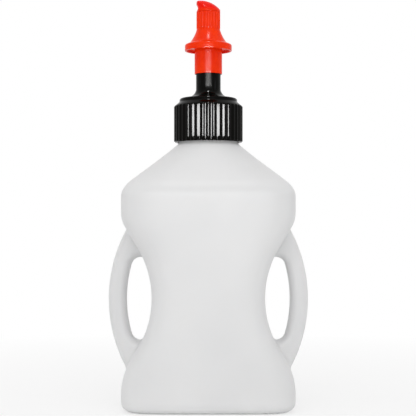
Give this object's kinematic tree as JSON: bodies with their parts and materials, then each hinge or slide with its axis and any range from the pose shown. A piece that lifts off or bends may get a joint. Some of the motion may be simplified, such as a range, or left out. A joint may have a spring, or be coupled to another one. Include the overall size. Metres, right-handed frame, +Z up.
{
  "type": "fuel jug",
  "caption": "Blown translucent fuel jug with two side handles, a ribbed black screw cap and a red spring-loaded quick-fill nozzle that opens when it is pushed down.",
  "frame": {"origin": "middle of the foot, on the surface that the jug stands on", "axes": "+Z up along the nozzle, X across the two handles, -Y out of the front face"},
  "size_m": [0.257, 0.1892, 0.525],
  "materials": {
    "translucent_plastic": "translucent natural polyethylene with a soft sheen",
    "black_plastic": "glossy black moulded plastic",
    "red_plastic": "glossy orange-red moulded plastic",
    "seal_rubber": "black seal rubber",
    "spring_steel": "drawn steel spring wire",
    "rod_metal": "drawn aluminium",
    "dark_tube": "dark extruded tube"
  },
  "bodies": {
    "jug": {"jug_body": "translucent_plastic"},
    "gasket": {"neck_gasket": "seal_rubber"},
    "cap": {"screw_cap": "black_plastic", "stem_seal_upper": "seal_rubber", "stem_seal_lower": "seal_rubber", "valve_spider": "black_plastic", "valve_rod": "rod_metal", "vent_tube": "dark_tube", "return_spring": "spring_steel", "valve_head": "red_plastic", "head_seal": "seal_rubber"},
    "nozzle": {"nozzle_sleeve": "red_plastic"}
  },
  "joints": [
    {"name": "cap_lift", "type": "slide", "parent": "jug", "child": "gasket", "axis": [0, 0, 1], "range_m": [0, 0.0106]},
    {"name": "cap_turn", "type": "hinge", "parent": "gasket", "child": "cap", "pos_m": [0, 0, 0.36], "axis": [0, 0, 1], "range_deg": [0, 630]},
    {"name": "nozzle_push", "type": "slide", "parent": "cap", "child": "nozzle", "axis": [0, 0, -1], "range_m": [0, 0.02], "stiffness_N_per_m": 1000, "springref_m": -0.012, "deforming": ["return_spring"]}
  ],
  "couplings": [
    {"joint": "cap_lift", "follows": "cap_turn", "m_per_rad": 0.00095493}
  ]
}
